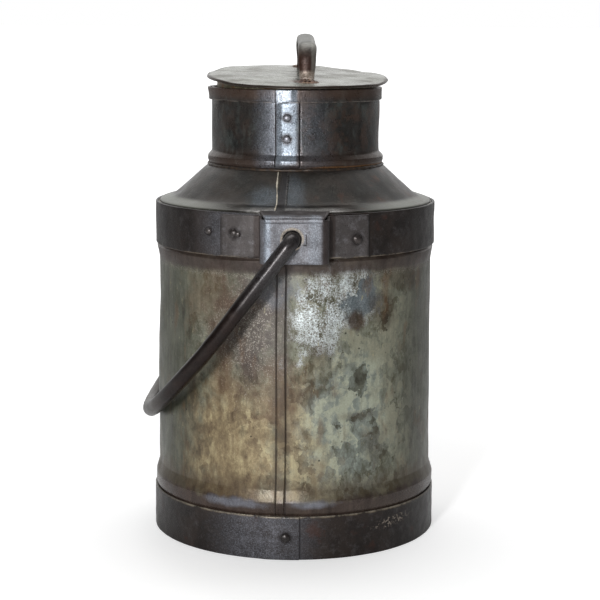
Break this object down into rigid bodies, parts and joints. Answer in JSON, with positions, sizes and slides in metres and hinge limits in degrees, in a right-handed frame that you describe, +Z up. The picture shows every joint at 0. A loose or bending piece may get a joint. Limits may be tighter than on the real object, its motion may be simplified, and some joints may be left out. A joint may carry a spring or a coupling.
{
  "type": "milk can",
  "caption": "Riveted sheet-metal milk can with a cylindrical galvanised body, sloping shoulder, lapped neck, plug lid with strap handle and a swinging rod bail.",
  "frame": {"origin": "centre of the foot ring's lower edge, on the can's axis", "axes": "+Z up along the can's axis; the front, where the body's seam and one bail bracket are, faces -Y; the bail hangs towards -X; the bail's hinge line is parallel to Y, 1.8 mm to the left of the axis"},
  "size_m": [0.2547, 0.297, 0.4264],
  "materials": {
    "galvanised": "weathered galvanised sheet, mottled grey-green and tan, matt to satin",
    "solder": "dull grey solder",
    "dark_iron": "brown-black patinated hoop iron, semi-gloss, finely pitted",
    "shoulder_iron": "brown-grey patinated sheet, semi-gloss",
    "neck_iron": "brown-black patinated sheet with bluish-grey worn metal at the lap",
    "bracket_iron": "violet-grey patinated plate, finely pitted, semi-gloss",
    "bail_iron": "brown-black handled rod, semi-gloss",
    "rivet_iron": "brown-black rivet heads with worn bright crowns",
    "lid_tin": "pale grey-green dulled tinplate, glossy, dented",
    "handle_iron": "half-round strap, pale grey on the crown and rusty brown down the legs",
    "braze": "rough brown brazing"
  },
  "bodies": {
    "can": {"body_shell": "galvanised", "body_seam_solder": "solder", "base_plate": "galvanised", "base_solder": "solder", "base_band": "dark_iron", "base_band_rivet": "rivet_iron", "shoulder_cone": "shoulder_iron", "shoulder_band": "dark_iron", "shoulder_solder": "solder", "cone_seam_solder": "solder", "shoulder_band_rivets": "rivet_iron", "neck_collar": "neck_iron", "neck_solder": "solder", "neck_rivets": "rivet_iron", "mouth_band": "neck_iron", "front_bracket": "bracket_iron", "rear_bracket": "bracket_iron", "front_bracket_rivets": "rivet_iron", "rear_bracket_rivets": "rivet_iron"},
    "bail": {"bail_handle": "bail_iron", "front_bail_washer": "bail_iron", "rear_bail_washer": "bail_iron"},
    "lid": {"lid_plate": "lid_tin", "lid_plug": "lid_tin", "lid_solder": "solder", "lid_handle": "handle_iron", "lid_handle_braze": "braze"}
  },
  "joints": [
    {"name": "bail_hinge", "type": "hinge", "parent": "can", "child": "bail", "pos_m": [-0.0018, 0, 0.2668], "axis": [0, 1, 0], "range_deg": [0, 284]},
    {"name": "lid_lift", "type": "slide", "parent": "can", "child": "lid", "axis": [0, 0, 1], "range_m": [0, 0.15]}
  ]
}
